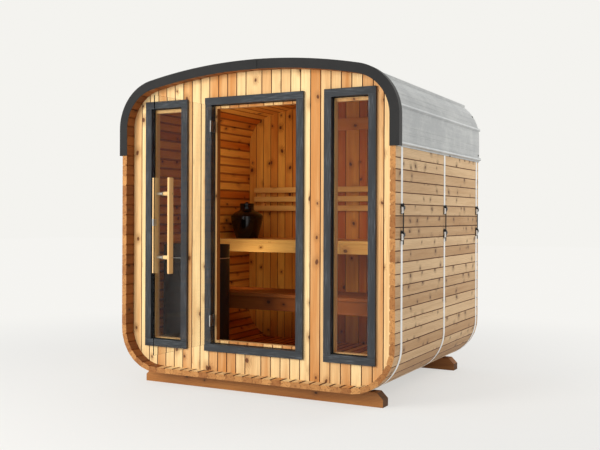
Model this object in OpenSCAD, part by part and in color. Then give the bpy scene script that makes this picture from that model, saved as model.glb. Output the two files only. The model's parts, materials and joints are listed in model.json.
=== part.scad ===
// Cube sauna cabin. Millimetres. X right, Y back, Z up, the front faces -Y.
// The origin is the middle of the front skid's underside.

/* [Shell] */
// outside width of the stave shell
shell_width = 2150; // [1700:10:2800]
// depth of the shell from its front edge to its rear edge
shell_depth = 1834; // [1500:2:3000]
// height of the shell from its underside to the top of the crown
shell_height = 2168; // [2050:2:2500]
// thickness of the staves and of the wall boards
stave_thick = 38; // [28:1:50]
// outside radius of the two bottom corners
floor_radius = 310; // [200:5:400]
// outside radius of the two shoulders
shoulder_radius = 322; // [220:2:400]
// height the crown rises above the straight shoulder line
crown_drop = 400; // [340:2:460]

/* [Skids] */
// distance from the shell's front edge to the front skid
skid_inset = 125; // [122:1:300]
// thickness of a skid from front to back
skid_thick = 90; // [60:1:140]
// height of a skid
skid_height = 95; // [60:1:160]
// length of a skid across the cabin
skid_length = 1893; // [1500:5:2100]
// size of the cut on a skid's upper ends
skid_cut = 45; // [10:1:60]

/* [Walls] */
// distance the front wall stands back from the shell's front edge
front_recess = 85; // [70:1:200]
// distance the back wall stands in from the shell's rear edge
rear_recess = 54; // [40:1:150]

/* [Openings] */
// height of the frames' lower edge over the ground
frame_bottom = 272; // [240:1:420]
// height of the frames from lower to upper edge
frame_height = 1788; // [1600:2:1860]
// overall width of the door frame
door_frame_width = 784; // [720:2:900]
// overall width of a window frame
window_width = 368; // [260:2:420]
// width of the wall pier between a window and the door frame
pier_width = 154; // [90:1:200]
// width of the frame bars
frame_bar = 53; // [30:1:70]
// distance the frames stand out from the wall boards
frame_proud = 20; // [8:1:30]
// distance the frames reach into the wall
frame_sunk = 28; // [26:1:30]
// width of wood that shows inside the door frame
stop_width = 21; // [16:1:28]
// width of wood that shows inside a window frame
pane_stop = 9; // [6:1:14]
// thickness of the window panes
pane_thick = 8; // [6:1:12]

/* [Door] */
// angle the door stands open at rest
door_open = 93; // [80:1:94]
// thickness of the glass door
door_thick = 8; // [8:1:10]
// gap round the closed door
door_gap = 8; // [6:1:12]
// length of the handle bars
bar_length = 620; // [400:5:1000]
// width of the handle bars
bar_width = 47; // [30:1:80]
// thickness of the handle bars
bar_thick = 13; // [10:1:25]
// gap between the glass and a handle bar
bar_gap = 52; // [30:1:60]
// distance between the two standoffs of a bar
standoff_pitch = 413; // [250:5:600]
// distance from the door's free edge to the middle of the bars
bar_inset = 86; // [60:1:140]
// height of the middle of the handle bars over the ground
bar_level = 1163; // [1000:1:1300]

/* [Roof] */
// height over the ground of the roof sheet's lower edges
roof_lip = 1667; // [1500:1:1750]
// thickness of the roof sheet
sheet_thick = 3; // [2:0.5:5]
// height of the roof ribs over the sheet
rib_high = 16; // [8:1:20]
// width of the front trim's face
trim_face = 66; // [50:1:90]
// length of the trim's leg over the roof
trim_leg = 50; // [35:1:140]

/* [Bands] */
// width of the steel bands
band_wide = 30; // [20:1:45]
// thickness of the steel bands
band_thick = 2.5; // [2:0.5:4]
// distance from the shell's front edge to the middle of the front band
band_first = 105; // [95:1:108]

/* [Inside] */
// height of the upper bench over the ground
upper_level = 1032; // [950:1:1150]
// depth of the upper bench
upper_depth = 592; // [450:2:700]
// height of the lower bench over the ground
lower_level = 632; // [540:1:700]
// depth of the lower bench
lower_depth = 450; // [300:5:600]
// thickness of the bench boards
bench_thick = 28; // [20:1:40]

/* [Heater] */
// width of the oval heater
heater_width = 540; // [400:5:600]
// depth of the oval heater
heater_depth = 300; // [240:5:360]
// gap between the front wall and the heater
heater_gap = 127; // [60:1:200]
// height of the heater's top over the ground
heater_top = 1012; // [900:1:1100]

/* [Hidden] */
$fn = 64;

half = shell_width / 2;
y_front = -skid_inset - skid_thick / 2;
y_rear = y_front + shell_depth;
z_under = skid_height;
z_top = skid_height + shell_height;
corner_x = half - floor_radius;
corner_z = z_under + floor_radius;
shoulder_x = half - shoulder_radius;
shoulder_z = z_top - crown_drop;
crown_radius = (shoulder_x * shoulder_x + crown_drop * crown_drop
    - shoulder_radius * shoulder_radius)
    / (2 * (crown_drop - shoulder_radius));
crown_z = z_top - crown_radius;
crown_angle = asin(shoulder_x / (crown_radius - shoulder_radius));

wall_front = y_front + front_recess;
wall_back = wall_front + stave_thick;
back_wall_front = y_rear - rear_recess - stave_thick;
back_wall_back = y_rear - rear_recess;

frame_top = frame_bottom + frame_height;
door_half = door_frame_width / 2;
win_in = door_half + pier_width;
win_out = win_in + window_width;
frame_y0 = wall_front - frame_proud;
frame_y1 = wall_front + frame_sunk;
open_half = door_half - frame_bar;
open_z0 = frame_bottom + frame_bar;
open_z1 = frame_top - frame_bar;
lining_y1 = wall_back + 32;
inner_half = half - stave_thick;
heater_x = -inner_half + 76 + heater_width / 2;
upper_y0 = back_wall_front - upper_depth;
lower_y0 = upper_y0 - lower_depth;

hinge_x = -open_half + 13;
hinge_y = frame_y1 - 19;
glass_off = 9;
glass_start = 12;
glass_end = open_half - door_gap - hinge_x;
glass_z0 = open_z0 + door_gap;
glass_z1 = open_z1 - door_gap;
hinge_z = [glass_z0 + 118, glass_z1 - 183];
hinge_high = 78;
pin_r = 4;

sheet_in = band_thick;
sheet_out = sheet_in + sheet_thick;
rib_out = sheet_out + rib_high;
trim_thick = 3;
trim_out = rib_out + trim_thick;
trim_in = trim_out - trim_face;

band_mid_y = y_front + shell_depth * 0.5245;
band_y = [y_front + band_first, band_mid_y, y_rear - 59];
rear_skid_y = shell_depth - 2 * skid_inset - skid_thick;
trim_seam = 70;

wood_light = [0.93, 0.76, 0.52];
wood_mid = [0.80, 0.60, 0.38];
wood_inside = [0.72, 0.46, 0.22];
charcoal = [0.22, 0.23, 0.25];
metal = [0.78, 0.78, 0.75];
black = [0.08, 0.08, 0.08];
glass = [0.42, 0.33, 0.22];

// a flat outline in X and Z carried along Y from y0 to y1
module along(y0, y1) {
    translate([0, y1, 0]) rotate([90, 0, 0])
        linear_extrude(height = y1 - y0) children();
}

module box(x0, x1, y0, y1, z0, z1) {
    translate([x0, y0, z0]) cube([x1 - x0, y1 - y0, z1 - z0]);
}

// outline of the shell, filled, moved outward by o
module outline(o) {
    sx = sin(crown_angle) * 600;
    sz = cos(crown_angle) * 600;
    intersection() {
        difference() {
            translate([-half - o, z_under - o]) square([2 * half + 2 * o, shell_height + 2 * o + 20]);
            for (s = [-1, 1]) {
                difference() {
                    translate([s > 0 ? corner_x : -corner_x - 500, corner_z - 500]) square([500, 500]);
                    translate([s * corner_x, corner_z]) circle(r = floor_radius + o, $fn = 180);
                }
                difference() {
                    polygon([[s * shoulder_x, shoulder_z], [s * (shoulder_x + 600), shoulder_z],
                        [s * (shoulder_x + 600), shoulder_z + 600], [s * (shoulder_x + sx), shoulder_z + sz]]);
                    translate([s * shoulder_x, shoulder_z]) circle(r = shoulder_radius + o, $fn = 180);
                }
            }
        }
        translate([0, crown_z]) circle(r = crown_radius + o, $fn = 1440);
    }
}

// closed ring between two offsets of the shell's outline
module ring(a, b) {
    difference() {
        outline(b);
        outline(a);
    }
}

// flat rectangle between two X values and two heights
module window(x0, x1, z0, z1) {
    translate([x0, z0]) square([x1 - x0, z1 - z0]);
}

// wall piece between two X values and two heights
module wall_piece(x0, x1, z0, z1, y0, y1) {
    along(y0, y1) intersection() {
        outline(-stave_thick);
        window(x0, x1, z0, z1);
    }
}

module both() {
    children();
    mirror([1, 0, 0]) children();
}

module skid() {
    h = skid_length / 2;
    along(-skid_thick / 2, skid_thick / 2)
        polygon([[-h, 0], [h, 0], [h, skid_height - skid_cut], [h - skid_cut, skid_height],
            [-h + skid_cut, skid_height], [-h, skid_height - skid_cut]]);
}

module front_skid() {
    color(wood_mid) skid();
}

module rear_skid() {
    color(wood_mid) translate([0, rear_skid_y, 0]) skid();
}

module shell_floor() {
    color(wood_mid) box(-corner_x, corner_x, y_front, y_rear, z_under, z_under + stave_thick);
}

module side() {
    box(half - stave_thick, half, y_front, y_rear, corner_z, shoulder_z);
}

// a curved length of the shell, cut out of the ring by a flat shape
module shell_piece() {
    along(y_front, y_rear) intersection() {
        ring(-stave_thick, 0);
        children();
    }
}

module shoulder() {
    shell_piece() polygon([[shoulder_x, shoulder_z], [shoulder_x + 600, shoulder_z],
        [shoulder_x + 600, shoulder_z + 600],
        [shoulder_x + 600 * sin(crown_angle), shoulder_z + 600 * cos(crown_angle)]]);
}

module shell_side_left() {
    color(wood_light) mirror([1, 0, 0]) side();
}

module shell_side_right() {
    color(wood_light) side();
}

module shell_corner_left() {
    color(wood_light) mirror([1, 0, 0]) shell_piece() window(corner_x, half + 50, 0, corner_z);
}

module shell_corner_right() {
    color(wood_light) shell_piece() window(corner_x, half + 50, 0, corner_z);
}

module shell_shoulder_left() {
    color(wood_light) mirror([1, 0, 0]) shoulder();
}

module shell_shoulder_right() {
    color(wood_light) shoulder();
}

module shell_ceiling() {
    color(wood_light) shell_piece()
        polygon([[shoulder_x, shoulder_z],
            [shoulder_x + 600 * sin(crown_angle), shoulder_z + 600 * cos(crown_angle)],
            [-shoulder_x - 600 * sin(crown_angle), shoulder_z + 600 * cos(crown_angle)],
            [-shoulder_x, shoulder_z]]);
}

module front_piece(x0, x1, z0, z1) {
    color(wood_light) wall_piece(x0, x1, z0, z1, wall_front, wall_back);
}

module front_wall_left_edge() {
    front_piece(-half, -win_out, 0, 3000);
}

module front_wall_left_infill() {
    front_piece(-win_out, -win_in, 0, frame_bottom);
    front_piece(-win_out, -win_in, frame_top, 3000);
}

module front_wall_left_pier() {
    front_piece(-win_in, -door_half, 0, 3000);
}

module front_wall_door_infill() {
    front_piece(-door_half, door_half, 0, frame_bottom);
    front_piece(-door_half, door_half, frame_top, 3000);
}

module front_wall_right_pier() {
    front_piece(door_half, win_in, 0, 3000);
}

module front_wall_right_infill() {
    front_piece(win_in, win_out, 0, frame_bottom);
    front_piece(win_in, win_out, frame_top, 3000);
}

module front_wall_right_edge() {
    front_piece(win_out, half, 0, 3000);
}

module back_wall() {
    color(wood_light) wall_piece(-half, half, 0, 3000, back_wall_front, back_wall_back);
}

// wooden stop behind the door frame
module door_lining() {
    color(wood_light) difference() {
        box(-door_half, door_half, frame_y1, lining_y1, frame_bottom, frame_top);
        box(-open_half + stop_width, open_half - stop_width, frame_y1 - 10, lining_y1 + 10,
            open_z0 + stop_width, open_z1 - stop_width);
    }
}

// narrow wooden stops behind the window panes
module window_linings() {
    color(wood_light) both() difference() {
        box(win_in, win_out, frame_y1, lining_y1, frame_bottom, frame_top);
        box(win_in + frame_bar + pane_stop, win_out - frame_bar - pane_stop, frame_y1 - 10,
            lining_y1 + 10, open_z0 + pane_stop, open_z1 - pane_stop);
    }
}

module rails(x0, x1, y1) {
    color(charcoal) {
        box(x0, x1, frame_y0, y1, frame_bottom, open_z0);
        box(x0, x1, frame_y0, y1, open_z1, frame_top);
    }
}

module stiles(x0, x1, y1) {
    color(charcoal) {
        box(x0, x0 + frame_bar, frame_y0, y1, open_z0, open_z1);
        box(x1 - frame_bar, x1, frame_y0, y1, open_z0, open_z1);
    }
}

module door_frame_rails() {
    rails(-door_half, door_half, frame_y1);
}

module door_frame_stiles() {
    stiles(-door_half, door_half, frame_y1);
}

module window_rails() {
    both() rails(win_in, win_out, frame_y1);
}

module window_stiles() {
    both() stiles(win_in, win_out, frame_y1);
}

module window_glass() {
    y = frame_y1 - pane_thick - 2;
    color(glass) both() box(win_in + frame_bar, win_out - frame_bar, y, y + pane_thick,
        open_z0, open_z1);
}

module rib(h) {
    polygon([[-16, -1], [16, -1], [8, h], [-8, h]]);
}

module roof_sheet() {
    h = sheet_out + rib_high - 0.5;
    color(metal) along(y_front + 6, y_rear + 8) union() {
        intersection() {
            ring(sheet_in, sheet_out);
            window(-half - 60, half + 60, roof_lip, 3000);
        }
        for (s = [-1, 1]) {
            translate([s * (half + sheet_out), roof_lip + 24]) rotate(-90 * s) rib(rib_high - 0.5);
            for (a = [11.5, 54]) translate([s * shoulder_x, shoulder_z]) rotate(s * (a - 90))
                translate([0, shoulder_radius + sheet_out]) rib(rib_high - 0.5);
        }
        for (k = [-3:3]) translate([0, crown_z]) rotate(k * 3.4)
            translate([0, crown_radius + sheet_out]) rib(rib_high - 0.5);
    }
}

// part of the front trim: a face over the shell's front edge and a leg over the roof
module trim(x0, x1) {
    along(y_front - trim_thick, y_front) intersection() {
        ring(trim_in, trim_out);
        window(x0, x1, roof_lip, 3000);
    }
    along(y_front, y_front - trim_thick + trim_leg) intersection() {
        ring(rib_out, trim_out);
        window(x0, x1, roof_lip, 3000);
    }
}

module front_trim_left() {
    color(charcoal) trim(-half - 60, trim_seam);
}

module front_trim_right() {
    color(charcoal) trim(trim_seam, half + 60);
}

module steel_bands() {
    color(metal) for (y = band_y) along(y - band_wide / 2, y + band_wide / 2) ring(0, band_thick);
}

// two brackets and the threaded rod between them
module tensioner() {
    x0 = half + band_thick;
    for (z = [1073, 1243]) {
        box(x0, x0 + 4, -21, 21, z, z + 66);
        box(x0, x0 + 17, -19, 19, z + 28, z + 52);
    }
    translate([x0 + 10, 0, 1050]) cylinder(r = 4, h = 262);
}

module band_tensioners() {
    color(black) both() for (y = band_y) translate([0, y, 0]) tensioner();
}

module bench(y0, y1, z) {
    color(wood_inside) box(-inner_half, inner_half, y0, y1, z - bench_thick, z);
}

module fascia(y0, z, h) {
    color(wood_inside) box(-inner_half, inner_half, y0, y0 + 24, z - h, z - bench_thick);
}

module upper_bench() {
    bench(upper_y0, back_wall_front, upper_level);
}

module upper_bench_fascia() {
    fascia(upper_y0, upper_level, 105);
}

module lower_bench() {
    bench(lower_y0, upper_y0, lower_level);
}

module lower_bench_fascia() {
    fascia(lower_y0 + 24, lower_level, 130);
}

module backrest_slats() {
    color(wood_inside) for (z = [1272, 1353, 1435])
        box(-960, 960, back_wall_front - 45, back_wall_front, z, z + 48);
}

module upper_batten() {
    color(wood_inside) box(-400, 880, back_wall_front - 28, back_wall_front, 1970, 2072);
}

// oval column on a narrower plinth
module heater() {
    r = heater_depth / 2;
    reach = heater_width / 2 - r;
    z0 = z_under + stave_thick;
    y = wall_back + heater_gap + r;
    z1 = corner_z - 165;
    color(black) {
        translate([heater_x, y, z1]) linear_extrude(height = heater_top - z1) union() {
            translate([-reach, 0]) circle(r = r);
            translate([reach, 0]) circle(r = r);
            translate([-reach, -r]) square([2 * reach, 2 * r]);
        }
        box(heater_x - 60, heater_x + heater_width / 2 - 50, y - r + 40, y + r - 40, z0, z1);
    }
}

module water_jug() {
    color(black) translate([-866, y_front + 1420, upper_level]) rotate_extrude()
        polygon([[0, 0], [96, 0], [126, 108], [142, 188], [110, 226], [70, 246], [61, 254],
            [63, 316], [0, 316]]);
}

// plate on the frame, two knuckles and the pin through them
module hinge_plates() {
    color(metal) for (z = hinge_z) {
        box(-open_half, -open_half + 3, hinge_y - 16, hinge_y + 14, z, z + hinge_high);
        for (k = [0, hinge_high - 14]) {
            box(-open_half + 3, hinge_x, hinge_y - 5, hinge_y + 5, z + k, z + k + 14);
            translate([hinge_x, hinge_y, z + k]) cylinder(r = 7, h = 14);
        }
        translate([hinge_x, hinge_y, z]) cylinder(r = pin_r, h = hinge_high);
    }
}

module at_door() {
    translate([hinge_x, hinge_y, 0]) rotate([0, 0, -door_open]) children();
}

module door_glass() {
    color(glass) at_door()
        box(glass_start, glass_end, glass_off - door_thick / 2, glass_off + door_thick / 2,
            glass_z0, glass_z1);
}

module hinge_leaves() {
    color(metal) at_door() for (z = hinge_z) difference() {
        union() {
            translate([0, 0, z + 15]) cylinder(r = 7, h = hinge_high - 30);
            box(0, 12, -2, glass_off - door_thick / 2, z + 15, z + hinge_high - 15);
            box(12, 58, -2, glass_off - door_thick / 2, z, z + hinge_high);
        }
        translate([0, 0, z]) cylinder(r = pin_r + 0.1, h = hinge_high);
    }
}

module bar_at(y0, y1) {
    x = glass_end - bar_inset;
    box(x - bar_width / 2, x + bar_width / 2, y0, y1, bar_level - bar_length / 2,
        bar_level + bar_length / 2);
}

module handle_bar_outer() {
    y = glass_off - door_thick / 2 - bar_gap;
    color(wood_mid) at_door() bar_at(y - bar_thick, y);
}

module handle_bar_inner() {
    y = glass_off + door_thick / 2 + bar_gap;
    color(wood_mid) at_door() bar_at(y, y + bar_thick);
}

module handle_standoffs() {
    x = glass_end - bar_inset;
    color(wood_mid) at_door() for (s = [-1, 1]) {
        translate([x, glass_off + door_thick / 2, bar_level + s * standoff_pitch / 2])
            rotate([-90, 0, 0]) cylinder(r = 13, h = bar_gap);
        translate([x, glass_off - door_thick / 2, bar_level + s * standoff_pitch / 2])
            rotate([90, 0, 0]) cylinder(r = 13, h = bar_gap);
    }
}

module door_catch() {
    y = glass_off - door_thick / 2;
    color(metal) at_door() box(glass_end - 27, glass_end, y - 12, y, bar_level - 2, bar_level + 43);
}

front_skid();
rear_skid();
shell_floor();
shell_side_left();
shell_side_right();
shell_corner_left();
shell_corner_right();
shell_shoulder_left();
shell_shoulder_right();
shell_ceiling();
front_wall_left_edge();
front_wall_left_infill();
front_wall_left_pier();
front_wall_door_infill();
front_wall_right_pier();
front_wall_right_infill();
front_wall_right_edge();
back_wall();
door_lining();
door_frame_rails();
door_frame_stiles();
window_rails();
window_stiles();
window_linings();
window_glass();
roof_sheet();
front_trim_left();
front_trim_right();
steel_bands();
band_tensioners();
upper_bench();
upper_bench_fascia();
lower_bench();
lower_bench_fascia();
backrest_slats();
upper_batten();
heater();
water_jug();
hinge_plates();
door_glass();
hinge_leaves();
handle_bar_outer();
handle_bar_inner();
handle_standoffs();
door_catch();
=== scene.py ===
# Looks of the cube sauna cabin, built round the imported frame. Metres throughout.
import itertools
import json
import math
import bpy
from mathutils import Euler, Matrix, Vector


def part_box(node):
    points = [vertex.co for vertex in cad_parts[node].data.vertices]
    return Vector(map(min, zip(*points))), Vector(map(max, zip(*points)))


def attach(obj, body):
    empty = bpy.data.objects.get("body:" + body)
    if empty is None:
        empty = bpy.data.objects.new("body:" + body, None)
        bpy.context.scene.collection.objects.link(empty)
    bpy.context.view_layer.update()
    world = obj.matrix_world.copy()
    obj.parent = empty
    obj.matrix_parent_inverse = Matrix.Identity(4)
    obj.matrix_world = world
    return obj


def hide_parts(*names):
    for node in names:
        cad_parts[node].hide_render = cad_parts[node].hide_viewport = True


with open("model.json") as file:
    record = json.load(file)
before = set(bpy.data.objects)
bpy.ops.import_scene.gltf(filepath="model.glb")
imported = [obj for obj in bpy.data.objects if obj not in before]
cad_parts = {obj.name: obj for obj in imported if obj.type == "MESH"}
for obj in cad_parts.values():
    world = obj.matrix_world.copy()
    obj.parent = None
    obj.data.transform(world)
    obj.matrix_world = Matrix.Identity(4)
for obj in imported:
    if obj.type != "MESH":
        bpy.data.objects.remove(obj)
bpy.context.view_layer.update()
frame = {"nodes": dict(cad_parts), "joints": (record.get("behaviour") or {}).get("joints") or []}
scene = bpy.context.scene
nodes = frame["nodes"]


# workshop helpers: picking, cutting, copying
def clearSelection():
    for item in bpy.context.selected_objects:
        item.select_set(False)


def makeActive(item):
    clearSelection()
    item.select_set(True)
    bpy.context.view_layer.objects.active = item


def leave():
    bpy.ops.object.mode_set(mode="OBJECT")


def openAll(item):
    # edit mode with the whole piece selected
    makeActive(item)
    bpy.ops.object.mode_set(mode="EDIT")
    bpy.ops.mesh.select_all(action="SELECT")


def startBlock(name, low, high):
    # a cube brought to its size and place, to be shaped further
    clearSelection()
    middle = [(a + b) / 2 for a, b in zip(low, high)]
    bpy.ops.mesh.primitive_cube_add(size=1, location=middle)
    item = bpy.context.object
    item.name = name
    item.scale = [b - a for a, b in zip(low, high)]
    bpy.ops.object.transform_apply(location=True, rotation=True, scale=True)
    return item


def startRound(name, centre, radius, height, sides=32, axis="Z"):
    clearSelection()
    turn = {"Z": (0, 0, 0), "X": (0, math.pi / 2, 0), "Y": (math.pi / 2, 0, 0)}[axis]
    bpy.ops.mesh.primitive_cylinder_add(vertices=sides, radius=radius, depth=height, location=centre,
                                        rotation=turn)
    item = bpy.context.object
    item.name = name
    bpy.ops.object.transform_apply(location=True, rotation=True, scale=True)
    return item


def pick(item, edges=None, faces=None, points=None):
    # leaves the item in edit mode with only the tested parts selected
    makeActive(item)
    mesh = item.data
    bpy.ops.object.mode_set(mode="EDIT")
    bpy.ops.mesh.select_mode(type="EDGE" if edges else "FACE" if faces else "VERT")
    bpy.ops.mesh.select_all(action="DESELECT")
    leave()
    if edges:
        tested = [(edge, edges(*(mesh.vertices[i].co for i in edge.vertices))) for edge in mesh.edges]
    elif faces:
        tested = [(face, faces(face.center, face.normal)) for face in mesh.polygons]
    else:
        tested = [(point, points(point.co)) for point in mesh.vertices]
    for part, wanted in tested:
        part.select = bool(wanted)
    bpy.ops.object.mode_set(mode="EDIT")
    return any(wanted for part, wanted in tested)


def near(a, b):
    return abs(a - b) < 1e-5


def bevelEdges(item, test, width, steps=1):
    if pick(item, edges=test):
        bpy.ops.mesh.bevel(offset=width, segments=steps, affect="EDGES")
    leave()


def movePoints(item, test, move):
    pick(item, points=test)
    bpy.ops.transform.translate(value=move)
    leave()


def drawOut(item, test, move, rim=0.0):
    # extrudes the tested faces, inside an inset rim where one is given
    pick(item, faces=test)
    if rim:
        bpy.ops.mesh.inset(thickness=rim)
    bpy.ops.mesh.extrude_region_move(TRANSFORM_OT_translate={"value": move})
    leave()


def sliceThrough(item, spots, axis):
    # cuts straight through the whole piece at each place along one axis
    line = Vector([1.0 if k == axis else 0.0 for k in range(3)])
    openAll(item)
    for spot in spots:
        bpy.ops.mesh.select_all(action="SELECT")
        bpy.ops.mesh.bisect(plane_co=line * spot, plane_no=line)
    leave()


def mergePoints(item, reach):
    openAll(item)
    bpy.ops.mesh.remove_doubles(threshold=reach)
    leave()


def modify(item, kind, **values):
    makeActive(item)
    modifier = item.modifiers.new(kind.lower(), kind)
    for key, value in values.items():
        setattr(modifier, key, value)
    bpy.ops.object.modifier_apply(modifier=modifier.name)


def softenEdges(item, width, steps=2, angle=30):
    modify(item, "BEVEL", width=width, segments=steps, limit_method="ANGLE", angle_limit=math.radians(angle))


def smooth(item, angle=35):
    makeActive(item)
    bpy.ops.object.shade_smooth_by_angle(angle=math.radians(angle))


def discard(*items):
    for item in items:
        bpy.data.objects.remove(item, do_unlink=True)


def cutBy(item, cutter, operation):
    # the quick solver copes with rows of tongued boards
    modify(item, "BOOLEAN", object=cutter, operation=operation, solver="FAST")
    discard(cutter)


def twin(item, name, move=(0, 0, 0), matrix=None):
    copy = item.copy()
    copy.data = item.data.copy()
    copy.name = name
    scene.collection.objects.link(copy)
    copy.data.transform(matrix if matrix is not None else Matrix.Translation(move))
    return copy


def joined(items, name):
    clearSelection()
    for item in items:
        item.select_set(True)
    bpy.context.view_layer.objects.active = items[0]
    if len(items) > 1:
        bpy.ops.object.join()
    items[0].name = name
    items[0].data.name = name
    return items[0]


def nodeCopy(name, grow=0.0):
    # a closed copy of a CAD solid, made longer in Y at both ends, to cut with
    low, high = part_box(name)
    middle = (low.y + high.y) / 2
    copy = twin(nodes[name], "cutting_" + name)
    copy.parent = None
    mergePoints(copy, 0.00002)
    if grow:
        movePoints(copy, lambda p: p.y < middle, (0, -grow, 0))
        movePoints(copy, lambda p: p.y > middle, (0, grow, 0))
    return copy


boardNumbers = itertools.count(61)
# stand-ins that keep the slots apart until each piece gets its finishes
slotMarks = [bpy.data.materials.new(name + "Mark")
             for name in ("face", "end", "room", "joint", "ledge", "seam", "ledgeSeam")]


def markGrain(item, along, across, roomSide=0, jointed=False, ledge=None):
    # own map in metres: the whole part of u numbers the board, its fraction runs across, v runs along
    board = next(boardNumbers) + 0.5
    mesh = item.data
    for other in [u for u in mesh.uv_layers if u.name != "grain"]:
        mesh.uv_layers.remove(other)
    layer = mesh.uv_layers.get("grain") or mesh.uv_layers.new(name="grain")
    thick = 3 - along - across
    low = [min(p.co[k] for p in mesh.vertices) for k in range(3)]
    high = [max(p.co[k] for p in mesh.vertices) for k in range(3)]
    middle = [(a + b) / 2 for a, b in zip(low, high)]
    half = (high[across] - low[across]) / 2
    mesh.materials.clear()
    for mark in slotMarks:
        mesh.materials.append(mark)
    for face in mesh.polygons:
        main = max(range(3), key=lambda k: abs(face.normal[k]))
        flat = face.normal[thick]
        slot = 1 if main == along else 2 if flat * roomSide > 0.85 else 0
        outside = ledge and not ledge[0] < face.center[along] < ledge[1]
        if slot == 0 and jointed and abs(flat) < 0.9:
            slot = 3 if flat * roomSide < 0.2 else 6 if outside else 5
        if slot == 2 and outside:
            slot = 4
        face.material_index = slot
        for loop in face.loop_indices:
            p = mesh.vertices[mesh.loops[loop].vertex_index].co
            if main == along:
                spot = (board + p[across] - middle[across], p[thick] - middle[thick])
            elif main == thick:
                spot = (board + p[across] - middle[across], p[along])
            else:
                spot = (board + half + p[thick] - low[thick], p[along])
            layer.data[loop].uv = spot
    return item


def plank(name, low, high, along, across, ease=0.0025):
    item = startBlock(name, low, high)
    softenEdges(item, ease, 2)
    return markGrain(item, along, across)


def dress(item, *looks):
    # slots: face, board end, room side, joint, ledge outside the walls, seam in the room, seam on the ledge
    slots = item.data.materials
    while len(slots) < len(looks):
        slots.append(None)
    for k in range(len(slots)):
        slots[k] = looks[min(k, len(looks) - 1)]


def finishPiece(item, looks, slot, *replaced, body="cabin"):
    # names of the finishes in slot order, a slot name that is not used, the nodes it stands for, and its body
    dress(item, *(finishes[look] for look in looks.split()))
    if replaced:
        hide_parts(*replaced)
    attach(item, body)


def paint(swatch):
    # a swatch with values from 0 to 255 brought to the shader's linear scale
    return tuple(((c / 255) / 12.92 if c <= 10 else ((c / 255 + 0.055) / 1.055) ** 2.4)
                 for c in swatch) + (1.0,)


def shade(colour, share):
    return tuple(share * c for c in colour[:3]) + (1.0,)


class nodeBench:
    # wires the nodes of one material, or of an owner that is given
    def __init__(self, name, owner=None):
        self.made = owner or bpy.data.materials.new(name)
        self.made.use_nodes = True
        self.tree = self.made.node_tree
        self.tree.nodes.clear()

    def put(self, kind, **values):
        node = self.tree.nodes.new("ShaderNode" + kind)
        for key, value in values.items():
            setattr(node, key, value)
        return node

    def feed(self, node, **sockets):
        for key, value in sockets.items():
            name = key.replace("_", " ")
            socket = node.inputs[int(key[1:])] if key[1:].isdigit() else node.inputs[name]
            if isinstance(value, bpy.types.NodeSocket):
                self.tree.links.new(value, socket)
            else:
                socket.default_value = value
        return node

    def math(self, operation, a, b=0.0, c=0.0, clamp=False):
        node = self.put("Math", operation=operation, use_clamp=clamp)
        return self.feed(node, i0=a, i1=b, i2=c).outputs[0]

    def blend(self, share, a, b):
        node = self.put("Mix", data_type="RGBA")
        return self.feed(node, i0=share, i6=a, i7=b).outputs[2]

    def darken(self, share, amount, colour, dark):
        return self.blend(self.math("MULTIPLY", share, amount), colour, dark)

    def noise(self, vector, scale, detail=3.0, rough=0.5):
        node = self.put("TexNoise")
        return self.feed(node, Vector=vector, Scale=scale, Detail=detail, Roughness=rough).outputs[0]

    def span(self, value, a, b, c=0.0, d=1.0):
        node = self.put("MapRange", interpolation_type="SMOOTHSTEP")
        return self.feed(node, i0=value, i1=a, i2=b, i3=c, i4=d).outputs[0]

    def stretch(self, vector, factors):
        return self.feed(self.put("Mapping"), Vector=vector, Scale=factors).outputs[0]

    def split(self, vector):
        return self.feed(self.put("SeparateXYZ"), Vector=vector).outputs

    def splitColour(self, node):
        return self.feed(self.put("SeparateColor"), Color=node.outputs["Color"]).outputs

    def combine(self, x, y, z=0.0):
        return self.feed(self.put("CombineXYZ"), X=x, Y=y, Z=z).outputs[0]

    def reach(self, vector):
        return self.feed(self.put("VectorMath", operation="LENGTH"), i0=vector).outputs["Value"]

    def grain(self):
        # the piece's own map: board number with the place across, and the place along
        return self.split(self.put("UVMap", uv_map="grain").outputs[0])

    def chances(self, board):
        # three chances that hold all over one board
        return self.splitColour(self.feed(self.put("TexWhiteNoise", noise_dimensions="1D"), W=board))

    def bump(self, height, strength, distance):
        return self.feed(self.put("Bump"), Height=height, Strength=strength, Distance=distance).outputs[0]

    def onRays(self, *kinds):
        # 1 on any of the named kinds of ray
        path = self.put("LightPath")
        found = path.outputs[kinds[0]]
        for kind in kinds[1:]:
            found = self.math("MAXIMUM", found, path.outputs[kind])
        return found

    def mixed(self, share, first, second):
        return self.feed(self.put("MixShader"), i0=share, i1=first.outputs[0], i2=second.outputs[0])

    def close(self, shader, output="OutputMaterial"):
        self.feed(self.put(output), Surface=shader.outputs[0])
        return self.made

    def finish(self, **sockets):
        return self.close(self.feed(self.put("BsdfPrincipled"), **sockets))


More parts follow.
